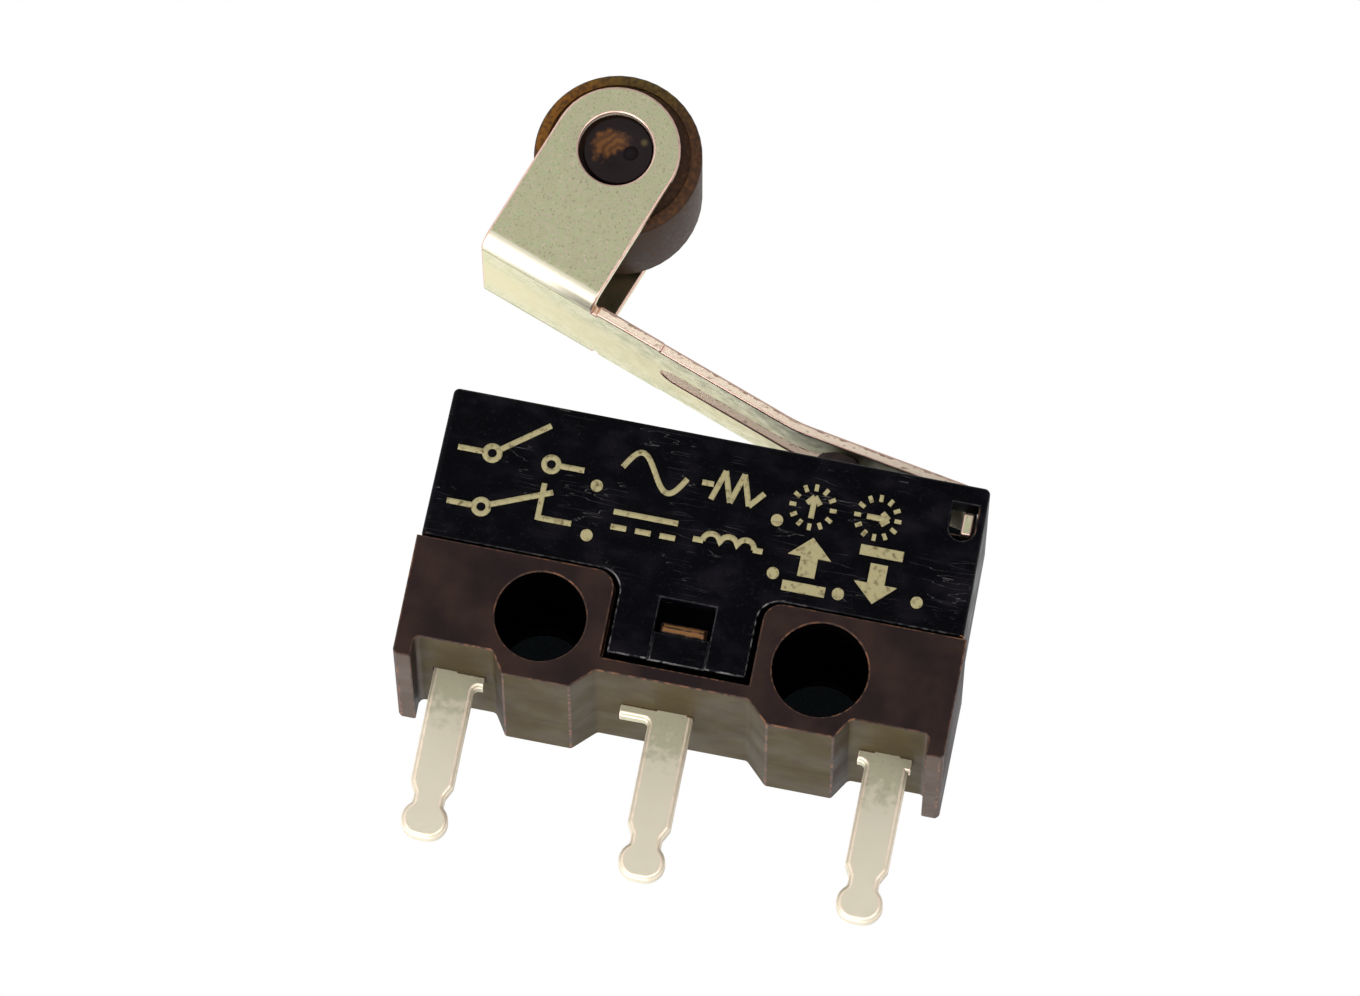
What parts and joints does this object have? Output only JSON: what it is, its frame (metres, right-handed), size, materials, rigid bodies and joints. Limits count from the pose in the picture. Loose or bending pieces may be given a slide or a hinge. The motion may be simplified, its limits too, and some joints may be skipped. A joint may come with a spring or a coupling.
{
  "type": "micro switch",
  "caption": "Ultra-subminiature snap-action micro switch with a bent hinge lever, a roller in its fork, flat solder pins and a cross-drilled base.",
  "frame": {"origin": "halfway between the two mounting holes, at mid depth", "axes": "+X towards the lever's hinge end, +Y along the mounting holes towards the back, +Z from the pins towards the roller"},
  "size_m": [0.0128, 0.0058, 0.0185],
  "materials": {
    "base_plastic": "dark brown moulding",
    "cover_plastic": "black moulding with a slight gloss",
    "terminal_metal": "plated strip, pale satin",
    "contact_metal": "polished contact metal",
    "spring_metal": "copper alloy spring strip",
    "lever_steel": "satin stainless sheet",
    "roller_plastic": "dark brown moulding",
    "plunger_plastic": "dark brown moulding"
  },
  "bodies": {
    "housing": {"base": "base_plastic", "cover": "cover_plastic", "terminal_common": "terminal_metal", "terminal_open": "terminal_metal", "terminal_closed": "terminal_metal", "contact_open": "contact_metal", "contact_closed": "contact_metal"},
    "lever": {"lever": "lever_steel"},
    "roller": {"roller": "roller_plastic"},
    "plunger": {"plunger": "plunger_plastic"},
    "blade": {"blade": "spring_metal", "contact_moving": "contact_metal"}
  },
  "joints": [
    {"name": "lever_hinge", "type": "hinge", "parent": "housing", "child": "lever", "pos_m": [0.00588, 0, 0.00409], "axis": [0, -1, 0], "range_deg": [0, 8.5], "stiffness_Nm_per_rad": 0.006, "springref_deg": -11.46},
    {"name": "roller_spin", "type": "hinge", "parent": "lever", "child": "roller", "pos_m": [-0.00375, 0, 0.0115], "axis": [0, 1, 0], "continuous": true},
    {"name": "plunger_slide", "type": "slide", "parent": "housing", "child": "plunger", "axis": [0, 0, -1], "range_m": [0, 0.000486]},
    {"name": "blade_snap", "type": "hinge", "parent": "housing", "child": "blade", "pos_m": [0.00524, 0, 0.0029], "axis": [0, -1, 0], "range_deg": [0, 3.79]}
  ],
  "couplings": [
    {"joint": "plunger_slide", "follows": "lever_hinge", "m_per_rad": 0.0032726},
    {"joint": "blade_snap", "follows": "lever_hinge", "ratio": 0.4454}
  ]
}
